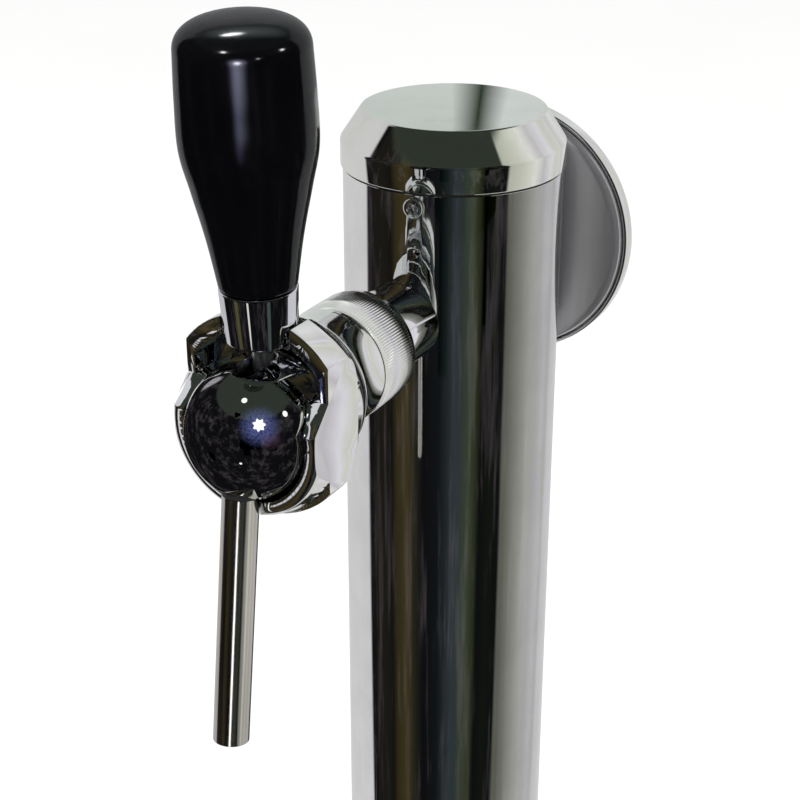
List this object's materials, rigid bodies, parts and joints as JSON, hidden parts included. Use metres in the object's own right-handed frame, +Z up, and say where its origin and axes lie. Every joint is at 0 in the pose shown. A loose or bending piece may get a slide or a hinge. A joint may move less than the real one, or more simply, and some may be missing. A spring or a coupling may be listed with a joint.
{
  "type": "draft beer dispenser",
  "caption": "Draft beer dispenser: chrome counter column with a ball-type lever tap, tilted spout, black handle, beer line inside and a blank round medallion behind.",
  "frame": {"origin": "the column's axis on the counter, at the middle of the base gasket's underside", "axes": "+Z up the column, -Y forward along the tap, +Y towards the medallion, +X to the left of someone who faces the tap from the front"},
  "size_m": [0.114, 0.2077, 0.4545],
  "materials": {
    "chrome": "mirror-polished plating",
    "spout_steel": "satin, drawn lengthwise",
    "stainless": "turned stainless steel",
    "brass": "machined",
    "handle_black": "gloss black",
    "rubber": "matt black",
    "hose": "milky white food hose",
    "badge_face": "plain off-white, unprinted",
    "badge_clear": "clear acrylic"
  },
  "bodies": {
    "stand": {"base_gasket": "rubber", "cap_seal": "rubber", "coupling_seal": "rubber", "barrel_ring": "rubber", "spout_ring": "rubber", "tail_washer": "rubber", "line_grommet": "rubber", "badge_backing": "rubber", "base_flange": "chrome", "column_tube": "chrome", "top_cap": "chrome", "cap_screw": "chrome", "base_screw_1": "chrome", "base_screw_2": "chrome", "base_screw_3": "chrome", "shank_spacer": "chrome", "coupling_nut": "chrome", "tap_barrel": "chrome", "tap_body": "chrome", "ball_housing": "chrome", "medallion_spacer": "chrome", "medallion_dish": "chrome", "medallion_bezel": "chrome", "spout_tube": "spout_steel", "tap_shank": "stainless", "saddle_washer": "stainless", "pivot_pin": "stainless", "tail_elbow": "stainless", "hose_clamp": "stainless", "medallion_washer": "stainless", "medallion_nut": "stainless", "medallion_bolt": "stainless", "shank_nut": "brass", "tail_nut": "brass", "beer_line": "hose", "badge_plate": "badge_face", "badge_lens": "badge_clear"},
    "lever": {"lever_rod": "stainless", "lever_seal": "rubber", "handle_ferrule": "chrome", "handle_insert": "brass", "handle_grip": "handle_black"},
    "valve": {"valve_stem": "stainless", "valve_seal": "rubber"}
  },
  "joints": [
    {"name": "lever_tilt", "type": "hinge", "parent": "stand", "child": "lever", "pos_m": [0, -0.1188, 0.3306], "axis": [1, 0, 0], "range_deg": [0, 25]},
    {"name": "valve_slide", "type": "slide", "parent": "stand", "child": "valve", "axis": [0, 1, 0], "range_m": [0, 0.0033]}
  ],
  "couplings": [
    {"joint": "valve_slide", "follows": "lever_tilt", "m_per_rad": 0.0075}
  ]
}
